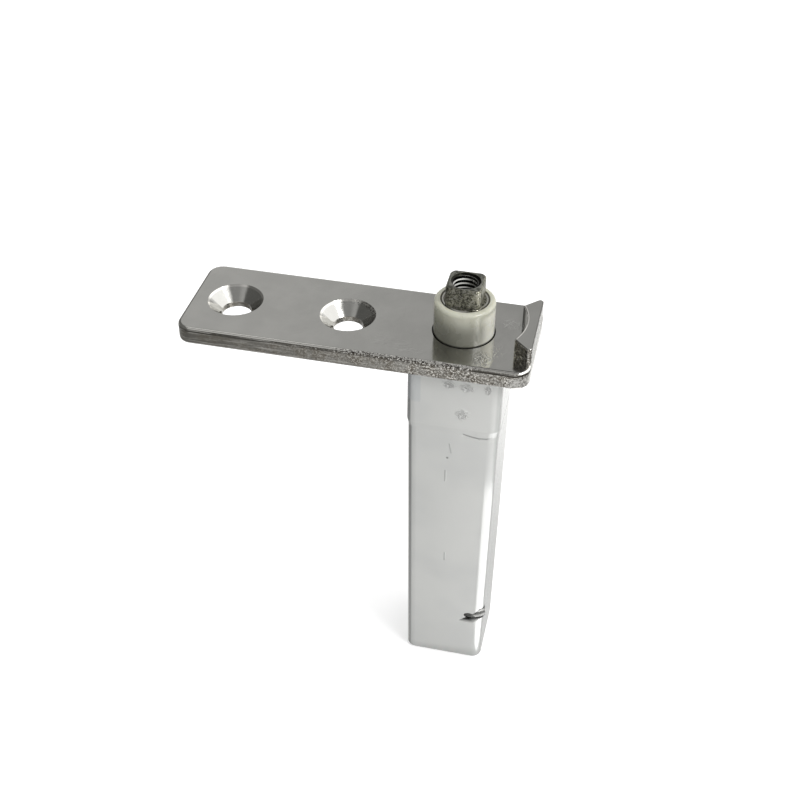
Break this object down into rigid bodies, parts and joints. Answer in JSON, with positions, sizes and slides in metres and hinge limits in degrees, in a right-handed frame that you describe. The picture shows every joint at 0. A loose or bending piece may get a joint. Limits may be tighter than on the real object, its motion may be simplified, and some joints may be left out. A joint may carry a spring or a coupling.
{
  "type": "pivot hinge",
  "caption": "Self-closing pivot hinge: a flat plate with countersunk holes and a stop lip carries a sprung spindle with a square head, over a boxed torsion spring.",
  "frame": {"origin": "on the spindle's axis, level with the mounting plate's top face", "axes": "+Z along the spindle towards its square head, +X along the plate towards the stop lip, +Y across the plate"},
  "size_m": [0.075, 0.025, 0.104],
  "materials": {
    "chromed_casting": "chromed, fine cast grain on the rim",
    "cream_nylon": "satin",
    "bright_steel": "turned",
    "dark_cast_steel": "as cast, machined top",
    "spring_steel": "drawn wire",
    "pale_plastic": "glossy, slightly translucent",
    "white_nylon": "moulded"
  },
  "bodies": {
    "base": {"mounting_plate": "chromed_casting", "nylon_bushing": "cream_nylon", "lower_bushing": "cream_nylon", "thrust_washer": "bright_steel", "torsion_spring": "spring_steel", "housing": "pale_plastic", "spring_seat": "white_nylon"},
    "turning_spindle": {"spindle": "dark_cast_steel", "spring_arbor": "bright_steel", "cross_pin": "bright_steel"}
  },
  "joints": [
    {"name": "spindle_turn", "type": "hinge", "parent": "base", "child": "turning_spindle", "pos_m": [0, 0, 0], "axis": [0, 0, -1], "range_deg": [0, 110], "stiffness_Nm_per_rad": 1, "springref_deg": -30, "deforming": ["torsion_spring"]}
  ]
}
